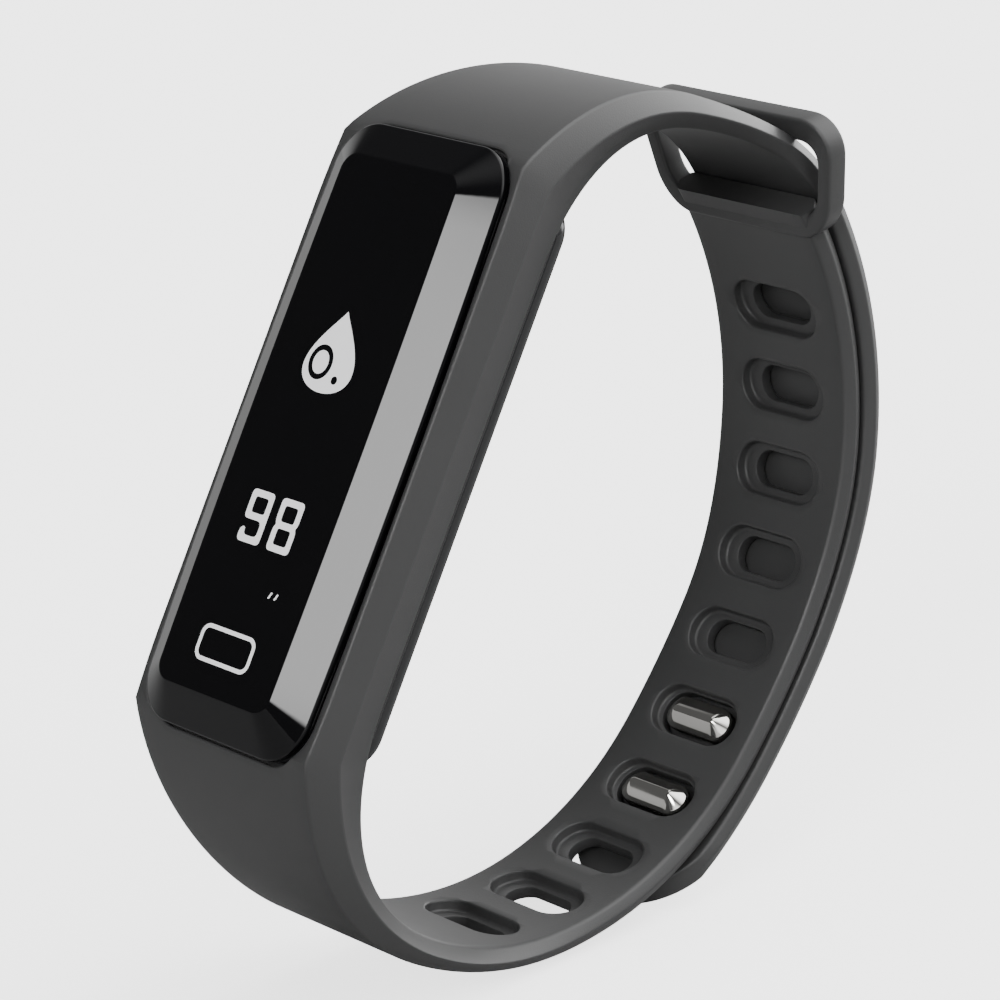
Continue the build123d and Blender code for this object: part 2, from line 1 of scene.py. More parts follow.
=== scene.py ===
"""Fitness tracker band: a gloss capsule with a touch display, snapped into a black rubber strap.

Sizes are in millimetres in the capsule's own frame, as on the maker's drawing: x runs from the
screen into the wrist, y across the strap and z up along the screen. Each finished mesh is then
leaned back to the band's stance, in metres.
"""
import json
from math import atan2, cos, pi, radians, sin, sqrt

import bmesh
import bpy
from mathutils import Matrix, Vector


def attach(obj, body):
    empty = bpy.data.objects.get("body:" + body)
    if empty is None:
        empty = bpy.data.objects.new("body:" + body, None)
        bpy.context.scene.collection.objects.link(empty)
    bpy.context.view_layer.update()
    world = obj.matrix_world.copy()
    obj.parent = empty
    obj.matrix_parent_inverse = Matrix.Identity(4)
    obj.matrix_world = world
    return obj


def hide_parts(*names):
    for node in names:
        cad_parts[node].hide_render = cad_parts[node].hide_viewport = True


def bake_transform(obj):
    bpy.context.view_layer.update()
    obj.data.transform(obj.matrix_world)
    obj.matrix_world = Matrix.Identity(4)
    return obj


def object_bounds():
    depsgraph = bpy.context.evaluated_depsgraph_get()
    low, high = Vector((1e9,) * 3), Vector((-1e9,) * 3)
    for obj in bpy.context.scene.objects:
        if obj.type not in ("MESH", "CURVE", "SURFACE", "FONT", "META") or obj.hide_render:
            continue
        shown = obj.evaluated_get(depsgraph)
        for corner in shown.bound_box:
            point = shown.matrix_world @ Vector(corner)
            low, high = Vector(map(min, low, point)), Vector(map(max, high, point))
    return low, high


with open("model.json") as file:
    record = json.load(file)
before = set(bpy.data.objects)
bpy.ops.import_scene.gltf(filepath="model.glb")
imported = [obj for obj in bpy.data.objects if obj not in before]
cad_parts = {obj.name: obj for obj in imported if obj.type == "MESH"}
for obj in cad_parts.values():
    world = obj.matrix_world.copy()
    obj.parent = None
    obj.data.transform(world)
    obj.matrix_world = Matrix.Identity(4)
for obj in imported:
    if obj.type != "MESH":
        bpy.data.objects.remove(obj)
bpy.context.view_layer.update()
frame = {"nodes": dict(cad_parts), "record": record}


# ------------------------------------------------------------------ circuit boards
# Two glass-fibre boards under green solder mask: the main board carries the chips, and the small
# one faces the skin. The main board is screwed to the chassis.
def new_finish(name, metallic=0.0, coat=0.0):
    """A material with only its Principled shader; returns the material, its tree and the shader."""
    material = bpy.data.materials.new(name)
    material.use_nodes = True
    tree = material.node_tree
    shader = tree.nodes["Principled BSDF"]
    shader.inputs["Metallic"].default_value = metallic
    shader.inputs["Coat Weight"].default_value = coat
    return material, tree, shader


def build_grain():
    """Shared surface effect: fine grain for relief, and a slow mottle for colour and gloss."""
    group = bpy.data.node_groups.new("moulded grain", "ShaderNodeTree")
    face = group.interface
    face.new_socket("Grain per metre", in_out="INPUT", socket_type="NodeSocketFloat")
    face.new_socket("Mottle per metre", in_out="INPUT", socket_type="NodeSocketFloat")
    face.new_socket("Height", in_out="OUTPUT", socket_type="NodeSocketFloat")
    face.new_socket("Mottle", in_out="OUTPUT", socket_type="NodeSocketFloat")
    enter = group.nodes.new("NodeGroupInput")
    leave = group.nodes.new("NodeGroupOutput")
    place = group.nodes.new("ShaderNodeTexCoord")
    for source, result, detail in (("Grain per metre", "Height", 2.0), ("Mottle per metre", "Mottle", 4.0)):
        noise = group.nodes.new("ShaderNodeTexNoise")
        noise.inputs["Detail"].default_value = detail
        group.links.new(place.outputs["Object"], noise.inputs["Vector"])
        group.links.new(enter.outputs[source], noise.inputs["Scale"])
        group.links.new(noise.outputs["Fac"], leave.inputs[result])
    return group


grain_group = build_grain()


def mottled(name, colour, shade, roughness, grain, relief, mottle=150.0, metallic=0.0, coat=0.0):
    """Finish whose colour and roughness run between two values each, with the grain in relief if any."""
    material, tree, shader = new_finish(name, metallic, coat)
    surface = tree.nodes.new("ShaderNodeGroup")
    surface.node_tree = grain_group
    surface.inputs["Grain per metre"].default_value = grain
    surface.inputs["Mottle per metre"].default_value = mottle
    tint = tree.nodes.new("ShaderNodeMix")
    tint.data_type = "RGBA"
    tint.inputs["A"].default_value = (*colour, 1)
    tint.inputs["B"].default_value = (*shade, 1)
    gloss = tree.nodes.new("ShaderNodeMapRange")
    gloss.inputs["To Min"].default_value = roughness[0]
    gloss.inputs["To Max"].default_value = roughness[1]
    link = tree.links.new
    link(surface.outputs["Mottle"], tint.inputs["Factor"])
    link(tint.outputs["Result"], shader.inputs["Base Color"])
    link(surface.outputs["Mottle"], gloss.inputs["Value"])
    link(gloss.outputs["Result"], shader.inputs["Roughness"])
    if relief:
        bump = tree.nodes.new("ShaderNodeBump")
        bump.inputs["Distance"].default_value = relief
        link(surface.outputs["Height"], bump.inputs["Height"])
        link(bump.outputs["Normal"], shader.inputs["Normal"])
    return material


def dress(node, material):
    """Give a carried-over part its finish."""
    mesh = frame["nodes"][node].data
    mesh.materials.clear()
    mesh.materials.append(material)


board_finish = mottled("solder mask", (0.012, 0.11, 0.045), (0.02, 0.17, 0.07), (0.25, 0.4), 9000, 2e-5)
for node in ("main_board", "sensor_board"):
    dress(node, board_finish)


# ------------------------------------------------------------------ chips and small parts
# Moulded black packages, a ceramic antenna block, an ivory connector and clear resin lamps,
# all soldered flat on their boards.
chip_finish = mottled("chip package", (0.018, 0.018, 0.02), (0.03, 0.03, 0.032), (0.45, 0.6), 14000, 2e-5)
for node in ("processor_chip", "memory_chip", "motion_sensor_chip", "charger_chip", "light_sensor"):
    dress(node, chip_finish)
ceramic_finish = mottled("white ceramic", (0.62, 0.63, 0.6), (0.7, 0.7, 0.66), (0.2, 0.3), 8000, 1e-5)
dress("radio_antenna", ceramic_finish)
resin_finish = mottled("clear resin", (0.55, 0.7, 0.5), (0.62, 0.76, 0.55), (0.08, 0.15), 6000, 5e-6)
dress("green_leds", resin_finish)
nylon_finish = mottled("ivory nylon", (0.66, 0.6, 0.46), (0.7, 0.66, 0.53), (0.4, 0.5), 9000, 2e-5)
dress("display_connector", nylon_finish)


# ------------------------------------------------------------------ chassis, tapes and seal
# A grey moulded carrier between display and board, black foam tape under the glass and the
# battery, and a grey silicone cord seal in the housing's groove.
carrier_finish = mottled("grey moulding", (0.15, 0.15, 0.16), (0.19, 0.19, 0.2), (0.45, 0.6), 7000, 3e-5)
dress("inner_chassis", carrier_finish)
foam_finish = mottled("foam tape", (0.03, 0.03, 0.03), (0.055, 0.055, 0.055), (0.8, 0.95), 6000, 8e-5)
for node in ("lens_adhesive", "battery_pad"):
    dress(node, foam_finish)
seal_finish = mottled("seal silicone", (0.24, 0.25, 0.27), (0.3, 0.31, 0.33), (0.5, 0.6), 5000, 1e-5)
dress("housing_seal", seal_finish)


# ------------------------------------------------------------------ battery and its leads
# A foil pouch cell glued behind the board, with two insulated leads soldered to the board.
foil_finish = mottled("pouch foil", (0.55, 0.56, 0.58), (0.68, 0.69, 0.71), (0.25, 0.42), 900, 8e-5,
                      metallic=1.0)
dress("battery_cell", foil_finish)
lead_finish = mottled("lead insulation", (0.4, 0.02, 0.015), (0.5, 0.03, 0.02), (0.35, 0.45), 5000, 1e-5)
dress("battery_leads", lead_finish)


# ------------------------------------------------------------------ steel parts
# Cross-head screws and the flat motor: pressed case, shaft, ring magnet and its lopsided weight.
steel_finish = mottled("plain steel", (0.42, 0.42, 0.43), (0.56, 0.56, 0.57), (0.22, 0.38), 5000, 6e-6,
                       metallic=1.0)
for node in ("board_screws", "motor_base", "motor_cover", "motor_shaft", "motor_magnet", "vibration_weight"):
    dress(node, steel_finish)


# ------------------------------------------------------------------ display, cable and touch pad
# An unlit panel behind the glass, its amber film cable folded through the chassis, and the copper
# pad behind the touch key.
panel_finish = mottled("display panel", (0.004, 0.004, 0.006), (0.007, 0.007, 0.01), (0.1, 0.2), 6000, 2e-6)
dress("display_panel", panel_finish)
film_finish = mottled("amber film", (0.42, 0.17, 0.03), (0.5, 0.23, 0.05), (0.25, 0.35), 3000, 1e-5)
for node in ("display_flex", "touch_pad"):
    dress(node, film_finish)


# ------------------------------------------------------------------ capsule shell
# A gloss black moulded box, open at the front, whose back is closed by a domed cover. The seam
# between them shows as a fine line. The ring that carries the glass is the same plastic.
joints = {joint["name"]: joint for joint in frame["record"]["behaviour"]["joints"]}
mounts = {mount["name"]: mount for mount in frame["record"]["mounts"]}
release = Vector(joints["capsule_release"]["axis"])
stance = Matrix.Rotation(atan2(release.z, -release.x), 4, "Y")


def drawn(position):
    """A place in metres, as millimetres on the maker's drawing."""
    return stance.inverted() @ Vector(position) * 1000


CREASE = radians(38)                   # edges that turn more than this are shaded sharp


def new_piece(name, points, faces, material, crease=CREASE):
    """A smooth-shaded mesh from drawn points; edges sharper than the crease angle stay sharp."""
    mesh = bpy.data.meshes.new(name)
    mesh.from_pydata([Vector(point) / 1000 for point in points], [], faces)
    mesh.transform(stance)
    shape = bmesh.new()
    shape.from_mesh(mesh)
    bmesh.ops.recalc_face_normals(shape, faces=shape.faces)
    shape.to_mesh(mesh)
    shape.free()
    mesh.shade_smooth()
    mesh.set_sharp_from_angle(angle=crease)
    mesh.materials.append(material)
    piece = bpy.data.objects.new(name, mesh)
    bpy.context.collection.objects.link(piece)
    return piece


def skin(rings, looped=False):
    """Points and faces of a tube through closed rings; it is capped, or looped back to its start."""
    count = len(rings[0])
    points = [point for ring in rings for point in ring]
    faces = []
    for row in range(len(rings) if looped else len(rings) - 1):
        ahead = (row + 1) % len(rings) * count
        for step in range(count):
            beside = (step + 1) % count
            faces.append((row * count + step, row * count + beside, ahead + beside, ahead + step))
    if not looped:
        faces.append(tuple(reversed(range(count))))
        faces.append(tuple(range(len(points) - count, len(points))))
    return points, faces


def joined(parts):
    """Points and faces of several closed shapes as one mesh."""
    points, faces = [], []
    for part_points, part_faces in parts:
        faces += [tuple(index + len(points) for index in face) for face in part_faces]
        points += part_points
    return points, faces


CORNER_STEPS = 14
SIDE_STEPS = 16


def outline(width, length, corner, barrel=0.0):
    """Rounded rectangle as pairs of y and z; barrel is how far the long sides bow out."""
    half_y, half_z = width / 2 - corner, length / 2 - corner
    corners = ((half_y, -half_z, -pi / 2), (half_y, half_z, 0), (-half_y, half_z, pi / 2),
               (-half_y, -half_z, pi))
    points = []
    for index, (y, z, start) in enumerate(corners):
        for step in range(CORNER_STEPS + 1):
            angle = start + pi / 2 * step / CORNER_STEPS
            points.append((y + corner * cos(angle), z + corner * sin(angle)))
        next_y, next_z, next_start = corners[(index + 1) % 4]
        goal = (next_y + corner * cos(next_start), next_z + corner * sin(next_start))
        last_y, last_z = points[-1]
        for step in range(1, SIDE_STEPS):
            share = step / SIDE_STEPS
            points.append((last_y + (goal[0] - last_y) * share, last_z + (goal[1] - last_z) * share))
    bow = [barrel * (2 * z / length) ** 2 for y, z in points]
    return [(y - bow[index] * 2 * y / width, z) for index, (y, z) in enumerate(points)]


def ring_at(x, width, length, corner, barrel=0.0):
    """Rounded rectangle round the capsule at a depth, as points."""
    return [(x, y, z) for y, z in outline(width, length, corner, barrel)]


def inset(size, by):
    """A width, length and corner radius moved inwards."""
    width, length, corner = size
    return width - 2 * by, length - 2 * by, max(corner - by, 0.05)


def eased_edge(radius, steps=5):
    """Quarter round as pairs: how far in from the side, and how far up from the rounding's start."""
    turns = [pi / 2 * step / steps for step in range(steps + 1)]
    return [(radius * (1 - cos(turn)), radius * sin(turn)) for turn in turns]


screen_x = drawn(mounts["screen_face"]["pos_m"]).x
back_x = drawn(mounts["sensor_face"]["pos_m"]).x
GLASS_CROWN = 1.8
FOOT = screen_x + GLASS_CROWN          # where the sloping border of the glass ends
CAPSULE = (15.4, 45.0, 3.2)
SEAM = FOOT + 8.0
SHELL_FRONT = FOOT + 1.5
WALL = 1.0
SEAM_EDGE = 0.18                       # rounding of the shell's rim at the seam
LENS = (9.6, 5.2, 2.2)
LENS_Z = 2.0
PAD_PLACES = ((-2.6, -16.5), (2.6, -16.5))
PAD_RADIUS = 0.9
shell_finish = mottled("gloss black moulding", (0.012, 0.012, 0.013), (0.016, 0.016, 0.017), (0.12, 0.2),
                       2500, 1.5e-6)

shell_rings = [ring_at(SHELL_FRONT, *CAPSULE)]
shell_rings += [ring_at(SEAM - SEAM_EDGE + up, *inset(CAPSULE, into)) for into, up in eased_edge(SEAM_EDGE)]
shell_rings.append(ring_at(SEAM, *inset(CAPSULE, WALL)))
shell_rings.append(ring_at(SHELL_FRONT, *inset(CAPSULE, WALL)))
shell = new_piece("capsule_shell", *skin(shell_rings, looped=True), shell_finish)
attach(shell, "capsule")
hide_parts("housing")


def carve(piece, cutters):
    """Take the cutters' shapes out of a piece, and leave nothing of them behind."""
    for cutter in cutters:
        change = piece.modifiers.new("carve", "BOOLEAN")
        change.operation = "DIFFERENCE"
        change.solver = "EXACT"
        change.object = cutter
    bpy.context.view_layer.update()
    seen = piece.evaluated_get(bpy.context.evaluated_depsgraph_get())
    carved = bpy.data.meshes.new_from_object(seen)
    piece.modifiers.clear()
    carved.set_sharp_from_angle(angle=CREASE)
    piece.data = carved
    for cutter in cutters:
        bpy.data.objects.remove(cutter)


def disc(x, radius, y, z, count=48):
    """Ring round a place on the capsule, at a depth."""
    turns = [2 * pi * step / count for step in range(count)]
    return [(x, y + radius * cos(turn), z + radius * sin(turn)) for turn in turns]


COVER_IN = 0.12                        # the cover's outline is this far inside the shell's
COVER_EDGE = 0.12
COVER_ROUND = 1.0
SEAM_GAP = 0.05
LENS_GAP = 0.03
PAD_GAP = 0.04
cover_size = inset(CAPSULE, COVER_IN)
cover_front = SEAM + SEAM_GAP + COVER_EDGE
cover_rings = [ring_at(cover_front - up, *inset(cover_size, into))
               for into, up in reversed(eased_edge(COVER_EDGE))]
cover_rings += [ring_at(back_x - COVER_ROUND + up, *inset(cover_size, into))
                for into, up in eased_edge(COVER_ROUND, 8)]
cover_rings.append(ring_at(back_x, *inset(cover_size, COVER_ROUND + 0.1)))
cover = new_piece("capsule_back", *skin(cover_rings), shell_finish)
through_cover = (SEAM - 1, back_x + 1)
lens_pocket = [ring_at(x, *inset(LENS, -LENS_GAP)) for x in through_cover]
lens_pocket = [[(x, y, z + LENS_Z) for x, y, z in ring] for ring in lens_pocket]
pockets = [new_piece("lens_pocket", *skin(lens_pocket), shell_finish)]
for y, z in PAD_PLACES:
    pad_hole = [disc(x, PAD_RADIUS + PAD_GAP, y, z) for x in through_cover]
    pockets.append(new_piece("pad_hole", *skin(pad_hole), shell_finish))
carve(cover, pockets)
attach(cover, "capsule")
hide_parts("rear_cover")

dress("front_frame", shell_finish)


# ------------------------------------------------------------------ sensor lens and charging pads
# A dark clear lens glued in the cover over the pulse sensor, crowned a little so that it touches
# the skin, and two gold-plated pads pressed flush beside it.
LENS_CROWN = 0.4
lens_rings = [ring_at(SEAM + 0.85, *inset(LENS, LENS_GAP))]
lens_rings += [ring_at(back_x + up, *inset(LENS, LENS_GAP + into)) for into, up in eased_edge(LENS_CROWN)]
lens_rings.append(ring_at(back_x + LENS_CROWN, *inset(LENS, LENS_CROWN + 0.2)))
lens_rings = [[(x, y, z + LENS_Z) for x, y, z in ring] for ring in lens_rings]
lens_finish = mottled("dark lens", (0.008, 0.014, 0.012), (0.01, 0.018, 0.015), (0.04, 0.07), 3000, 1e-6,
                      coat=0.5)
lens = new_piece("pulse_lens", *skin(lens_rings), lens_finish)
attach(lens, "capsule")
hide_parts("sensor_lens")

PAD_EDGE = 0.12
PAD_PROUD = 0.05
pad_parts = []
for y, z in PAD_PLACES:
    pad_rings = [disc(SEAM + 0.3, PAD_RADIUS, y, z)]
    pad_rings += [disc(back_x + PAD_PROUD - PAD_EDGE + up, PAD_RADIUS - into, y, z)
                  for into, up in eased_edge(PAD_EDGE)]
    pad_parts.append(skin(pad_rings))
gold_finish = mottled("gold plate", (0.78, 0.55, 0.22), (0.86, 0.65, 0.3), (0.12, 0.25), 4000, 3e-6,
                      metallic=1.0)
pads = new_piece("charging_pads", *joined(pad_parts), gold_finish)
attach(pads, "capsule")
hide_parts("charging_contacts")


# ------------------------------------------------------------------ cover glass
# One polished black glass, ground with a wide sloping border all round. Black ink behind it hides
# all but the display, and it is glued to the capsule's front ring.
GLASS = (18.5, 47.0, 3.6)
GLASS_BEVEL = 2.9
GLASS_RIM = 0.6
GLASS_BARREL = 0.4
FLAT = (GLASS[0] - 2 * GLASS_BEVEL, GLASS[1] - 2 * GLASS_BEVEL, 1.4)
POLISH = 0.05                          # width of the softened line between border and face


def bevel_ring(share):
    """Ring of the sloping border, from its foot at 0 to the flat face at 1."""
    size = [foot + (top - foot) * share for foot, top in zip(GLASS, FLAT)]
    return ring_at(FOOT - GLASS_CROWN * share, *size, GLASS_BARREL * (1 - 0.5 * share))


glass_finish = mottled("ground black glass", (0.0025, 0.0025, 0.003), (0.003, 0.003, 0.0035), (0.035, 0.055),
                       1200, 4e-7, mottle=60.0)
glass_finish.node_tree.nodes["Principled BSDF"].inputs["Specular IOR Level"].default_value = 0.25
glass_rings = [ring_at(FOOT + GLASS_RIM, *inset(GLASS, 0.1), GLASS_BARREL)]
glass_rings.append(ring_at(FOOT + GLASS_RIM - 0.1, *GLASS, GLASS_BARREL))
glass_rings.append(ring_at(FOOT + 0.08, *GLASS, GLASS_BARREL))
glass_rings += [bevel_ring(share) for share in (0.02, 0.04, 0.25, 0.5, 0.75, 0.97, 0.985)]
glass_rings.append(ring_at(screen_x, *inset(FLAT, POLISH), GLASS_BARREL / 2))
glass_rings.append(ring_at(screen_x, *inset(FLAT, 3 * POLISH), GLASS_BARREL / 2))
glass = new_piece("cover_glass", *skin(glass_rings), glass_finish, crease=radians(50))
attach(glass, "capsule")
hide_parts("front_glass")


# ------------------------------------------------------------------ display picture and touch key
# What the panel shows through the glass: a droplet with a ring, a reading of two digits, two small
# dashes, and the printed outline of the touch key. Each is a thin lit layer at the glass's face.
LIT_THICK = 0.02
on_screen = Matrix(((0, 0, -1, screen_x / 1000), (-1, 0, 0, 0), (0, 1, 0, 0), (0, 0, 0, 1)))
DIGIT = (2.45, 4.0)
STROKE = 0.52
KEY = (6.0, 2.8, 0.85)
KEY_LINE = 0.32


def softened(corners, reach, steps=5):
    """Closed outline whose corners are short curves."""
    points = []
    for index, corner in enumerate(corners):
        corner = Vector(corner)
        before = Vector(corners[index - 1]) - corner
        after = Vector(corners[(index + 1) % len(corners)]) - corner
        start = corner + before.normalized() * min(reach, before.length * 0.48)
        end = corner + after.normalized() * min(reach, after.length * 0.48)
        for step in range(steps + 1):
            share = step / steps
            points.append(start * (1 - share) ** 2 + corner * 2 * share * (1 - share) + end * share ** 2)
    return points


def lit_layer(name, outlines, material):
    """Flat layer on the screen, filled between its outlines; x is to the right and y is up."""
    curve = bpy.data.curves.new(name, "CURVE")
    curve.dimensions = "2D"
    curve.fill_mode = "BOTH"
    curve.extrude = LIT_THICK / 2000
    for points in outlines:
        spline = curve.splines.new("POLY")
        spline.points.add(len(points) - 1)
        for target, (x, y) in zip(spline.points, points):
            target.co = (x / 1000, y / 1000, 0, 1)
        spline.use_cyclic_u = True
    drawing = bpy.data.objects.new(name, curve)
    bpy.context.collection.objects.link(drawing)
    bpy.context.view_layer.update()
    mesh = bpy.data.meshes.new_from_object(drawing.evaluated_get(bpy.context.evaluated_depsgraph_get()))
    bpy.data.objects.remove(drawing)
    mesh.transform(stance @ on_screen)
    mesh.materials.clear()
    mesh.materials.append(material)
    layer = bpy.data.objects.new(name, mesh)
    bpy.context.collection.objects.link(layer)
    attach(layer, "capsule")
    return layer


def moved(points, x, y):
    """The same outline further along."""
    return [(point[0] + x, point[1] + y) for point in points]


def box(left, low, right, high):
    """Corners of an upright box on the screen."""
    return [(left, low), (right, low), (right, high), (left, high)]


lit_finish = mottled("lit picture", (0.74, 0.74, 0.75), (0.82, 0.82, 0.83), (0.4, 0.4), 9000, 0.0,
                     mottle=900.0, coat=1.0)
lit_tree = lit_finish.node_tree
lit_shader = lit_tree.nodes["Principled BSDF"]
lit_colour = lit_shader.inputs["Base Color"].links[0].from_socket
lit_tree.links.new(lit_colour, lit_shader.inputs["Emission Color"])
lit_shader.inputs["Emission Strength"].default_value = 0.55

width, height = DIGIT
middle = height / 2
DIGIT_CORNER = 0.42
nine = softened([(0, height), (width, height), (width, 0), (0, 0), (0, 1.0), (STROKE, 1.15),
                 (STROKE, STROKE), (width - STROKE, STROKE), (width - STROKE, middle - STROKE / 2),
                 (0, middle - STROKE / 2)], DIGIT_CORNER)
eight = softened([(0, height), (width, height), (width, middle + 0.25), (width - 0.2, middle),
                  (width, middle - 0.25), (width, 0), (0, 0), (0, middle - 0.25), (0.2, middle),
                  (0, middle + 0.25)], DIGIT_CORNER)
HOLE_CORNER = 0.22
upper_hole = softened(box(STROKE, middle + STROKE / 2, width - STROKE, height - STROKE), HOLE_CORNER)
lower_hole = softened(box(STROKE, STROKE, width - STROKE, middle - STROKE / 2), HOLE_CORNER)
NINE_AT = (-2.95, -9.2)
EIGHT_AT = (0.35, -9.2)
lit_layer("reading_nine", [moved(nine, *NINE_AT), moved(upper_hole, *NINE_AT)], lit_finish)
eight_shapes = [moved(shape, *EIGHT_AT) for shape in (eight, upper_hole, lower_hole)]
lit_layer("reading_eight", eight_shapes, lit_finish)

DROP_HALF = (2.65, 3.15)
DROP_MIDDLE = 5.95
drop_turns = [2 * pi * step / 72 for step in range(72)]
droplet = [(DROP_HALF[0] * sin(turn) * sin(turn / 2) ** 1.35 / 0.72, DROP_MIDDLE + DROP_HALF[1] * cos(turn))
           for turn in drop_turns]


def round_mark(x, y, half_width, half_height):
    """Oval outline on the screen."""
    return [(x + half_width * cos(turn), y + half_height * sin(turn)) for turn in drop_turns]


RING_AT = (-0.95, 5.0)
lit_layer("droplet", [droplet, round_mark(*RING_AT, 1.24, 1.34), round_mark(*RING_AT, 0.8, 0.9),
                      round_mark(1.05, 3.95, 0.32, 0.32)], lit_finish)
for index, x in enumerate((2.35, 3.0)):
    dash = [(x, -12.5), (x + 0.18, -12.5), (x + 0.38, -12.0), (x + 0.2, -12.0)]
    lit_layer(f"dash_{index + 1}", [softened(dash, 0.08)], lit_finish)

KEY_Y = -16.95
key_shapes = [moved(outline(*size), 0, KEY_Y) for size in (KEY, inset(KEY, KEY_LINE))]
lit_layer("touch_key_outline", key_shapes, lit_finish)


# ------------------------------------------------------------------ strap
# Black silicone moulded in one piece: a frame round the capsule, a lower run with ten dished slots
# and an upper run that dives through the keeper loop. The frame and the upper run have six-sided
# sections with soft edges; the lower run's sides are nearly square.
class Bend:
    """One arc of the strap's side view; angles run anticlockwise round its centre."""

    def __init__(self, centre, radius, start, sweep):
        self.centre = centre
        self.radius = radius
        self.start = start
        self.sweep = sweep

    def outward(self, angle):
        return Vector((cos(angle), 0, sin(angle)))

    def point(self, angle, offset=0.0):
        middle = Vector((self.centre[0], 0, self.centre[1]))
        return middle + self.outward(angle) * (self.radius + offset)

    def following(self, radius, sweep):
        """The next arc, tangent to this one."""
        end = self.start + self.sweep
        shift = self.radius - radius
        centre = (self.centre[0] + shift * cos(end), self.centre[1] + shift * sin(end))
        return Bend(centre, radius, end, sweep)

    def length(self):
        return self.radius * self.sweep


FRAME_FRONT = 0.3
FRAME_BACK = 7.2
SHOULDER_RADIUS = 15.3
SHOULDER_Z = 16.9
STRAP_THICK = 2.0
TAIL_GAP = 0.25
TAIL_OFFSET = STRAP_THICK + TAIL_GAP
END_IN_LOOP = 0.9                      # how far the lower run reaches into the loop's lower bar
OUTER_RADIUS = 25.0
OUTER_BACK = 21.5                      # centre of the front's curve, back from the glass's foot
OUTER_Z = 9.45
CREST_RADIUS = 14.0
WIDTH_TURN = radians(80)
THIN_POWER = 2.6                       # how soon the rise thins; its outside stays free of waves
strap_half = dict(inner=6.65, ridge=8.2, outer=6.9)
run_half = dict(inner=6.4, ridge=6.85, outer=6.3)
crest_half = dict(inner=6.5, ridge=7.6, outer=6.4)
tail_half = dict(inner=6.6, ridge=6.95, outer=6.4)
THIN_LENGTH = 9.0
NARROW_LENGTH = 20.0                   # of the lower run, over which it narrows from the shoulder's width
WIDER_FROM = 50.0                      # from here to the loop both runs widen a little
WIDER_BY = 0.4
WIDER_OVER = 14.0
frame_half = dict(inner=8.3, ridge=10.4, outer=10.0)
FRAME_RIDGE_AT = 0.62
EDGE_REACH = dict(inner=0.3, ridge=0.16, outer=0.24)

root = Bend((FOOT + FRAME_BACK + SHOULDER_RADIUS, -SHOULDER_Z), SHOULDER_RADIUS, pi, radians(87.7))
upper_root = Bend((root.centre[0], SHOULDER_Z), SHOULDER_RADIUS, 0, 0)
second = root.following(27.0, radians(79.6))
third = second.following(72.0, radians(7.9))
last = third.following(32.2, radians(65.6))
lower_bends = (second, third, last)
LOWER_LENGTH = sum(bend.length() for bend in lower_bends)

strap_end = last.start + last.sweep
shift = last.radius + TAIL_OFFSET - CREST_RADIUS
crest_centre = (last.centre[0] + shift * cos(strap_end), last.centre[1] + shift * sin(strap_end))
crest = Bend(crest_centre, CREST_RADIUS, strap_end - 2 * pi, pi / 2 - (strap_end - 2 * pi))
crest_height = crest_centre[1] + CREST_RADIUS - SHOULDER_Z
crest_reach = crest_centre[0] - upper_root.centre[0]
rise_radius = ((crest_reach ** 2 + crest_height ** 2 - SHOULDER_RADIUS ** 2)
               / (2 * (crest_height - SHOULDER_RADIUS)))
rise_centre = (crest_centre[0], crest_centre[1] + CREST_RADIUS - rise_radius)
rise_end = atan2(SHOULDER_Z - rise_centre[1], upper_root.centre[0] - rise_centre[0])
rise = Bend(rise_centre, rise_radius, pi / 2, rise_end - pi / 2)
upper_turn = pi - rise_end


def along(distance):
    """Bend and angle at a distance along the lower run, from where its slots begin."""
    for bend in lower_bends:
        if distance <= bend.length() or bend is last:
            return bend, bend.start + distance / bend.radius
        distance -= bend.length()


def outer_distance(centre, direction):
    """From a shoulder's centre out to the strap's front, along a direction in the side view."""
    side = 1 if centre[1] > 0 else -1
    round_from = OUTER_Z + sqrt(OUTER_RADIUS ** 2 - (OUTER_BACK - FRAME_FRONT) ** 2)
    if direction.x < 0:
        to_front = (FOOT + FRAME_FRONT - centre[0]) / direction.x
        if abs(centre[1] + to_front * direction.z) < round_from:
            return to_front
    across, up = FOOT + OUTER_BACK - centre[0], side * OUTER_Z - centre[1]
    middle = across * direction.x + up * direction.z
    return middle + sqrt(OUTER_RADIUS ** 2 - (across ** 2 + up ** 2 - middle ** 2))


def eased(a, b, share):
    """Between two values, level at both ends."""
    share = min(max(share, 0.0), 1.0)
    return a + (b - a) * share * share * (3 - 2 * share)


FACE_STEPS = 12                        # points across the broad inner and outer faces
EDGE_STEPS = 4


def strap_ring(point, normal, thick, half, ridge_at=0.5):
    """Closed section of the strap at a point of its inner face."""
    levels = dict(inner=0.0, ridge=thick * ridge_at, outer=thick)
    names = ("inner", "ridge", "outer", "outer", "ridge", "inner")
    sides = (1, 1, 1, -1, -1, -1)
    corners = [Vector((side * half[name], levels[name])) for name, side in zip(names, sides)]
    flat = []
    for index, corner in enumerate(corners):
        before = corners[index - 1] - corner
        after = corners[(index + 1) % 6] - corner
        reach = EDGE_REACH[names[index]]
        start = corner + before.normalized() * min(reach, before.length * 0.45)
        end = corner + after.normalized() * min(reach, after.length * 0.45)
        if index == 3:
            flat += [flat[-1].lerp(start, step / FACE_STEPS) for step in range(1, FACE_STEPS)]
        for step in range(EDGE_STEPS + 1):
            share = step / EDGE_STEPS
            flat.append(start * (1 - share) ** 2 + corner * 2 * share * (1 - share) + end * share ** 2)
    flat += [flat[-1].lerp(flat[0], step / FACE_STEPS) for step in range(1, FACE_STEPS)]
    return [point + normal * height + Vector((0, y, 0)) for y, height in flat]


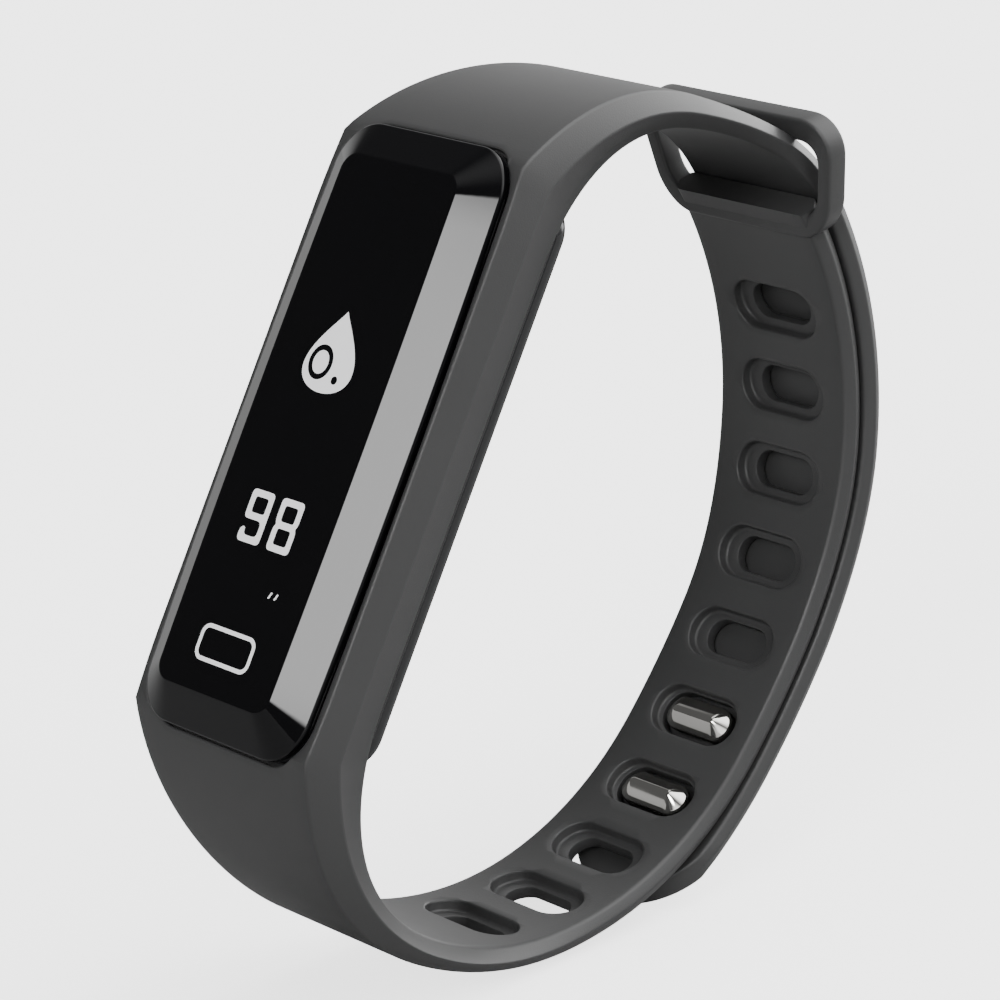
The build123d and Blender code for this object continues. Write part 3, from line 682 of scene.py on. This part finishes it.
def shoulder_ring(bend, angle, turn, thick):
    """Section on the way from the frame to the strap; turn is counted from the frame."""
    share = turn / WIDTH_TURN
    half = {name: eased(frame_half[name], strap_half[name], share) for name in frame_half}
    return strap_ring(bend.point(angle), bend.outward(angle), thick, half, eased(FRAME_RIDGE_AT, 0.5, share))


def shoulder_rings(bend, side, end_turn, steps):
    """Sections from the frame round a shoulder; side is -1 below and 1 above."""
    rings = []
    for step in range(steps + 1):
        turn = end_turn * step / steps
        angle = pi - side * turn
        thick = outer_distance(bend.centre, bend.outward(angle)) - bend.radius
        rings.append(shoulder_ring(bend, angle, turn, thick))
    return rings


def widened(half, distance):
    """Half widths at a distance along the lower run, wider near the loop."""
    extra = eased(0.0, WIDER_BY, (distance - WIDER_FROM) / WIDER_OVER)
    return {name: size + extra for name, size in half.items()}


def run_ring(distance):
    """Section of the lower run, at a distance from where its slots begin."""
    bend, angle = along(distance)
    half = {name: eased(strap_half[name], run_half[name], distance / NARROW_LENGTH) for name in run_half}
    thick = STRAP_THICK + (root_thick - STRAP_THICK) * max(1 - distance / THIN_LENGTH, 0.0) ** 2
    return strap_ring(bend.point(angle), bend.outward(angle), thick, widened(half, distance))


def rise_rings(start_thick, steps=16):
    """Sections over the top, thinning and narrowing towards the keeper loop."""
    rings = []
    for step in range(steps + 1):
        share = step / steps
        angle = rise_end + (pi / 2 - rise_end) * share
        turn = upper_turn + (WIDTH_TURN - upper_turn) * share
        half = {name: eased(frame_half[name], strap_half[name], turn / WIDTH_TURN) for name in frame_half}
        half = {name: eased(half[name], crest_half[name], share) for name in half}
        thick = STRAP_THICK + (start_thick - STRAP_THICK) * (1 - share) ** THIN_POWER
        ridge_at = eased(FRAME_RIDGE_AT, 0.5, turn / WIDTH_TURN)
        rings.append(strap_ring(rise.point(angle), rise.outward(angle), thick, half, ridge_at))
    return rings


root_thick = outer_distance(root.centre, root.outward(root.start + root.sweep)) - SHOULDER_RADIUS
upper_thick = outer_distance(upper_root.centre, upper_root.outward(pi - upper_turn)) - SHOULDER_RADIUS
FRAME_STEPS = 16
CREST_STEPS = 24
frame_rings = []
for step in range(1, FRAME_STEPS):
    z = SHOULDER_Z * (2 * step / FRAME_STEPS - 1)
    base = Vector((FOOT + FRAME_BACK, 0, z))
    frame_rings.append(strap_ring(base, Vector((-1, 0, 0)), FRAME_BACK - FRAME_FRONT, frame_half,
                                  FRAME_RIDGE_AT))
crest_rings = []
loop_tail_half = widened(tail_half, LOWER_LENGTH)
for step in range(1, CREST_STEPS + 1):
    share = step / CREST_STEPS
    angle = pi / 2 - crest.sweep * share
    half = {name: eased(crest_half[name], loop_tail_half[name], share) for name in crest_half}
    crest_rings.append(strap_ring(crest.point(angle), crest.outward(angle), STRAP_THICK, half))

RUN_STEPS = 96
run_length = LOWER_LENGTH + END_IN_LOOP
strap_rings = [run_ring(run_length * (1 - step / RUN_STEPS)) for step in range(RUN_STEPS + 1)]
strap_rings += list(reversed(shoulder_rings(root, -1, root.sweep, 36)))[1:]
strap_rings += frame_rings
strap_rings += shoulder_rings(upper_root, 1, upper_turn, 30)
strap_rings += rise_rings(upper_thick)[1:]
strap_rings += crest_rings

# Satin black: fine moulded grain and a slow mottle.
rubber = mottled("strap silicone", (0.033, 0.0332, 0.0335), (0.038, 0.0382, 0.0385), (0.4, 0.5), 9000,
                 1.2e-5, mottle=90.0)
strap = new_piece("strap", *skin(strap_rings), rubber)


def oblong(straight, radius, steps=20):
    """Rounded slot outline as pairs: across the strap, and along it."""
    points = []
    for side in (1, -1):
        for step in range(steps + 1):
            turn = pi * step / steps - side * pi / 2
            points.append((side * straight + radius * cos(turn), radius * sin(turn)))
    return points


def slot_ring(distance, straight, radius, depth):
    """Ring of a slot's cutter, bent with the strap; depth is out from the inner face."""
    ring = []
    for across, ahead in oblong(straight, radius):
        bend, angle = along(distance + ahead)
        point = bend.point(angle, depth)
        ring.append((point.x, across, point.z))
    return ring


SLOT_COUNT = 10
SLOT_PITCH = 7.05
SLOT_FIRST = 11.2
DISH = (2.3, 2.12)                     # half the straight side, and the end's radius
SLOT = (1.65, 1.45)
SLOT_OPENED = (1.95, 1.9)              # the two slots that the studs stretch
STUD_SLOTS = (3, 4)
# Side views of a slot's cutter: how far out from the outline, and the depth from the inner face.
DISH_PROFILE = ((0.5, -0.5), (0.17, -0.03), (0.09, 0.02), (0.03, 0.08), (0.0, 0.17), (-0.04, 0.7),
                (-0.1, 0.82), (-0.2, 0.89), (-0.34, 0.91))
SLOT_PROFILE = ((0.1, 0.91), (0.03, 0.95), (0.0, 1.03), (0.0, 1.8), (0.04, 1.92), (0.12, 1.98),
                (0.3, 2.04), (0.36, 2.22))
cutters = []
for index in range(SLOT_COUNT):
    distance = SLOT_FIRST + SLOT_PITCH * index
    slot = SLOT_OPENED if index in STUD_SLOTS else SLOT
    rings = [slot_ring(distance, DISH[0], DISH[1] + out, depth) for out, depth in DISH_PROFILE]
    if index in STUD_SLOTS:
        rings = rings[:-1]
    rings += [slot_ring(distance, slot[0], slot[1] + out, depth) for out, depth in SLOT_PROFILE]
    cutters.append(new_piece("slot_cutter", *skin(rings), rubber))

FIT_GAP = 0.2
SEAT_DEPTH = 1.6
MOUTH = 0.28                           # rounding of the frame's lip round the glass
WINDOW_FLARE = 0.12
SEAT_END = 14.0                        # the cutter runs on to here, well clear of the frame


def front_depth(z):
    """Depth of the strap's front face behind the glass's foot."""
    beyond = abs(z) - OUTER_Z
    curved = OUTER_BACK - sqrt(OUTER_RADIUS ** 2 - beyond ** 2) if beyond > 0 else 0.0
    return max(FRAME_FRONT, curved)


def lip_ring(out, down):
    """Ring of the seat's cutter that follows the strap's front face."""
    flat = outline(*inset(GLASS, -FIT_GAP - out), GLASS_BARREL)
    return [(FOOT + front_depth(z) + down, y, z) for y, z in flat]


seat_rings = [lip_ring(MOUTH, -1.0), lip_ring(MOUTH, -0.03)]
seat_rings += [lip_ring(MOUTH * (1 - sin(turn)), MOUTH * (1 - cos(turn)))
               for turn in (radians(25), radians(50), radians(70), pi / 2)]
seat_rings.append(ring_at(FOOT + SEAT_DEPTH, *inset(GLASS, -FIT_GAP), GLASS_BARREL))
window = inset(CAPSULE, -FIT_GAP)
flare = inset(window, -WINDOW_FLARE)
seat_rings += [ring_at(FOOT + SEAT_DEPTH, *window), ring_at(FOOT + FRAME_BACK - WINDOW_FLARE, *window)]
seat_rings += [ring_at(FOOT + FRAME_BACK + 0.02, *flare), ring_at(FOOT + SEAT_END, *flare)]
cutters.append(new_piece("seat_cutter", *skin(seat_rings), rubber))
carve(strap, cutters)
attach(strap, "strap")
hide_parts("strap_body")


# ------------------------------------------------------------------ keeper loop
# A rounded frame of the same silicone that widens upwards, moulded onto the end of the lower run.
# The upper run comes down through it and lies along the outside.
LOOP = (21.6, 10.3, 3.4)
LOOP_OPENING = (18.2, 6.5, 2.0)
LOOP_TAPER = (0.19, 0.14)              # how much narrower the outside and the opening are at the foot
LOOP_THICK = 2.0
LOOP_SOFT = 0.32
LOOP_FOOT = Vector((FOOT + 35.6, 0, 29.9))
loop_lean = radians(41)
loop_up = Vector((-sin(loop_lean), 0, cos(loop_lean)))
loop_out = Vector((cos(loop_lean), 0, sin(loop_lean)))
loop_bar = (LOOP[1] - LOOP_OPENING[1]) / 2
loop_centre = LOOP_FOOT + loop_up * (LOOP[1] - loop_bar) / 2


def loop_ring(share, level):
    """Ring of the loop, from its outside at 0 to its opening at 1, at a height off its middle plane."""
    size = [outer + (inner - outer) * share for outer, inner in zip(LOOP, LOOP_OPENING)]
    taper = LOOP_TAPER[0] + (LOOP_TAPER[1] - LOOP_TAPER[0]) * share
    ring = []
    for y, z in outline(*size):
        narrowed = y * (1 - taper * (0.5 - z / size[1]))
        ring.append(loop_centre + Vector((0, narrowed, 0)) + loop_up * z + loop_out * level)
    return ring


loop_section = softened([(0, -LOOP_THICK / 2), (loop_bar, -LOOP_THICK / 2), (loop_bar, LOOP_THICK / 2),
                         (0, LOOP_THICK / 2)], LOOP_SOFT, 4)
loop_rings = [loop_ring(inwards / loop_bar, level) for inwards, level in loop_section]
loop = new_piece("keeper_loop", *skin(loop_rings, looped=True), rubber)
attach(loop, "strap")


# ------------------------------------------------------------------ tail
# The free end of the upper run, which lies on the outside of the lower run. Its end is round, and
# a shallow pocket on its outside holds the clasp plate.
TAIL_TIP = 24.6
BEND_FROM = 72.0                       # where the tail would start to lift, and where it would have lifted; nothing here lifts it
BEND_TO = 50.0
TIP_RADIUS = tail_half["ridge"]
TIP_STEPS = 20
TIP_STAND_OFF = 0.8                    # extra gap at the very end, which dies away along the tail
STAND_OFF_LENGTH = 13.0
TAIL_STEPS = 52


def tail_ring(distance, half):
    """Section of the tail, at a distance along the lower run that it lies on."""
    bend, angle = along(distance)
    stand_off = TIP_STAND_OFF * max(1 - (distance - TAIL_TIP) / STAND_OFF_LENGTH, 0.0) ** 2
    return strap_ring(bend.point(angle, TAIL_OFFSET + stand_off), bend.outward(angle), STRAP_THICK, half)


tail_rings = []
for step in range(TAIL_STEPS):
    distance = LOWER_LENGTH + (TAIL_TIP + TIP_RADIUS - LOWER_LENGTH) * step / TAIL_STEPS
    tail_rings.append(tail_ring(distance, widened(tail_half, distance)))
for step in range(TIP_STEPS + 1):
    turn = radians(88.6) * step / TIP_STEPS
    half = {name: min(tail_half[name], TIP_RADIUS * cos(turn)) for name in tail_half}
    tail_rings.append(tail_ring(TAIL_TIP + TIP_RADIUS * (1 - sin(turn)), half))
tail = new_piece("strap_tail_end", *skin(tail_rings), rubber)

PLATE = (7.4, 14.4, 3.2)
PLATE_THICK = 0.6
PLATE_DEPTH = 1.55
clasp_middle = SLOT_FIRST + SLOT_PITCH * (STUD_SLOTS[0] + STUD_SLOTS[1]) / 2


def placed(distance, depth, across, ahead):
    """A point of a straight part fixed to the strap: out from the inner face, across and along."""
    bend, angle = along(distance)
    forward = Vector((-sin(angle), 0, cos(angle)))
    return bend.point(angle, depth) + forward * ahead + Vector((0, across, 0))


def plate_ring(size, depth):
    """Ring of the clasp plate, at a depth out from the tail's inner face."""
    return [placed(clasp_middle, TAIL_OFFSET + depth, y, z) for y, z in outline(*size)]


pocket_size = inset(PLATE, -0.05)
pocket = [plate_ring(pocket_size, PLATE_DEPTH - PLATE_THICK), plate_ring(pocket_size, PLATE_DEPTH + 3)]
carve(tail, [new_piece("plate_pocket", *skin(pocket), rubber)])
stance @ placed(BEND_FROM, TAIL_OFFSET, 0, 0) / 1000
stance @ placed(BEND_TO, TAIL_OFFSET, 0, 0) / 1000
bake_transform(tail)
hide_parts("strap_tail")


# ------------------------------------------------------------------ clasp
# A polished steel plate let into the tail's outside, with two studs riveted to it. They pass
# through the tail and snap into two slots; each head is an oblong with a ridged roof.
steel = mottled("polished steel", (0.66, 0.65, 0.62), (0.74, 0.73, 0.7), (0.05, 0.12), 2500, 0.0,
                mottle=400.0, metallic=1.0)

PLATE_EDGE = 0.2
plate_rings = [plate_ring(PLATE, PLATE_DEPTH - PLATE_THICK)]
plate_rings += [plate_ring(inset(PLATE, into), PLATE_DEPTH - PLATE_EDGE + up)
                for into, up in eased_edge(PLATE_EDGE)]
plate_rings.append(plate_ring(inset(PLATE, PLATE_EDGE + 0.1), PLATE_DEPTH))
plate = new_piece("clasp_plate_face", *skin(plate_rings), steel)
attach(plate, "tail")
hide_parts("clasp_plate")

STUD = (1.95, 1.46)
STUD_TOP = -0.2                        # depth of the ridge, in front of the strap's inner face
STUD_EAVE = 0.7
RIDGE_HALF = 0.22
STUD_FOOT = 2.15
stud_profile = [(STUD[1], STUD_FOOT), (STUD[1], STUD_EAVE + 0.12), (STUD[1] - 0.03, STUD_EAVE + 0.03),
                (STUD[1] - 0.12, STUD_EAVE - 0.09), (RIDGE_HALF + 0.1, STUD_TOP + 0.09),
                (RIDGE_HALF, STUD_TOP + 0.02), (RIDGE_HALF - 0.12, STUD_TOP)]
stud_parts = []
for index in STUD_SLOTS:
    distance = SLOT_FIRST + SLOT_PITCH * index
    stud_parts.append(skin([[placed(distance, depth, *spot) for spot in oblong(STUD[0], radius)]
                            for radius, depth in stud_profile]))
studs = new_piece("studs", *joined(stud_parts), steel, crease=radians(30))
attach(studs, "tail")
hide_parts("clasp_studs")


# ------------------------------------------------------------------ studio
# A pale seamless floor under the band and dim light from all round, with broad panels above, behind
# and low in front, and a narrow bright one high in front. The camera is in front of the near side.
FLOOR_GLOW = 2.2                       # lifts the floor to near white without lighting the band
FLOOR_BOUNCE = 0.28                    # how pale the floor is to the band's underside
floor_mesh = bpy.data.meshes.new("floor")
reach = 6.0
visual_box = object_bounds()
floor_z = visual_box[0][2]
floor_mesh.from_pydata([(-reach, -reach, floor_z), (reach, -reach, floor_z), (reach, reach, floor_z),
                        (-reach, reach, floor_z)], [], [(0, 1, 2, 3)])
floor = bpy.data.objects.new("floor", floor_mesh)
bpy.context.collection.objects.link(floor)
floor_finish = mottled("pale floor", (0.8, 0.8, 0.8), (0.83, 0.83, 0.83), (0.6, 0.7), 300, 1e-6, mottle=3)
floor_tree = floor_finish.node_tree
seen_light = floor_tree.nodes.new("ShaderNodeLightPath")
glow = floor_tree.nodes.new("ShaderNodeMath")
glow.operation = "MULTIPLY"
glow.inputs[1].default_value = FLOOR_GLOW
floor_shader = floor_tree.nodes["Principled BSDF"]
floor_shader.inputs["Emission Color"].default_value = (1, 1, 1, 1)
floor_tree.links.new(seen_light.outputs["Is Camera Ray"], glow.inputs[0])
bounce = floor_tree.nodes.new("ShaderNodeMix")
bounce.data_type = "RGBA"
bounce.inputs["A"].default_value = (FLOOR_BOUNCE, FLOOR_BOUNCE, FLOOR_BOUNCE, 1)
floor_tree.links.new(seen_light.outputs["Is Camera Ray"], bounce.inputs["Factor"])
floor_tree.links.new(floor_shader.inputs["Base Color"].links[0].from_socket, bounce.inputs["B"])
floor_tree.links.new(bounce.outputs["Result"], floor_shader.inputs["Base Color"])
floor_tree.links.new(glow.outputs["Value"], floor_shader.inputs["Emission Strength"])
floor_mesh.materials.append(floor_finish)

PANELS = (                             # direction it shines from, cosines of its edge and core, strength
    ((0.4, -0.4, 0.9), 0.5, 0.95, 3.5),
    ((-0.815, -0.34, 0.465), 0.978, 0.999, 24.0),
    ((0.98, 0.05, 0.06), 0.84, 0.96, 5.5),
    ((0.75, 0.65, 0.12), 0.78, 0.93, 0.8),
    ((-0.7, -0.7, 0.08), 0.87, 0.97, 1.8),
)
AMBIENT = 0.12
world = bpy.data.worlds.new("studio")
bpy.context.scene.world = world
world.use_nodes = True
sky = world.node_tree
look = sky.nodes.new("ShaderNodeTexCoord")
total = None
for direction, edge, core, strength in PANELS:
    facing = sky.nodes.new("ShaderNodeVectorMath")
    facing.operation = "DOT_PRODUCT"
    facing.inputs[1].default_value = Vector(direction).normalized()
    falloff = sky.nodes.new("ShaderNodeMapRange")
    falloff.interpolation_type = "SMOOTHSTEP"
    falloff.inputs["From Min"].default_value = edge
    falloff.inputs["From Max"].default_value = core
    falloff.inputs["To Max"].default_value = strength
    sky.links.new(look.outputs["Generated"], facing.inputs[0])
    sky.links.new(facing.outputs["Value"], falloff.inputs["Value"])
    add = sky.nodes.new("ShaderNodeMath")
    if total is None:
        add.inputs[1].default_value = AMBIENT
    else:
        sky.links.new(total, add.inputs[1])
    sky.links.new(falloff.outputs["Result"], add.inputs[0])
    total = add.outputs["Value"]
sky.links.new(total, sky.nodes["Background"].inputs["Strength"])
sky.nodes["Background"].inputs["Color"].default_value = (1, 1, 1, 1)

CAMERA_AZIMUTH = radians(-43.3)        # 0 looks along +Y; negative is from the band's front
CAMERA_ELEVATION = radians(17.07)
CAMERA_DISTANCE = 0.313
CAMERA_LENS = 144.0
aim = Vector((-0.0039, 0.0051, 0.0033))
back = Vector((sin(CAMERA_AZIMUTH) * cos(CAMERA_ELEVATION), -cos(CAMERA_AZIMUTH) * cos(CAMERA_ELEVATION),
               sin(CAMERA_ELEVATION)))
lens_data = bpy.data.cameras.new("camera")
lens_data.lens = CAMERA_LENS
lens_data.clip_start = 0.01
camera = bpy.data.objects.new("camera", lens_data)
bpy.context.collection.objects.link(camera)
camera.location = aim + back * CAMERA_DISTANCE
camera.rotation_euler = back.to_track_quat("Z", "Y").to_euler()
bpy.context.scene.camera = camera
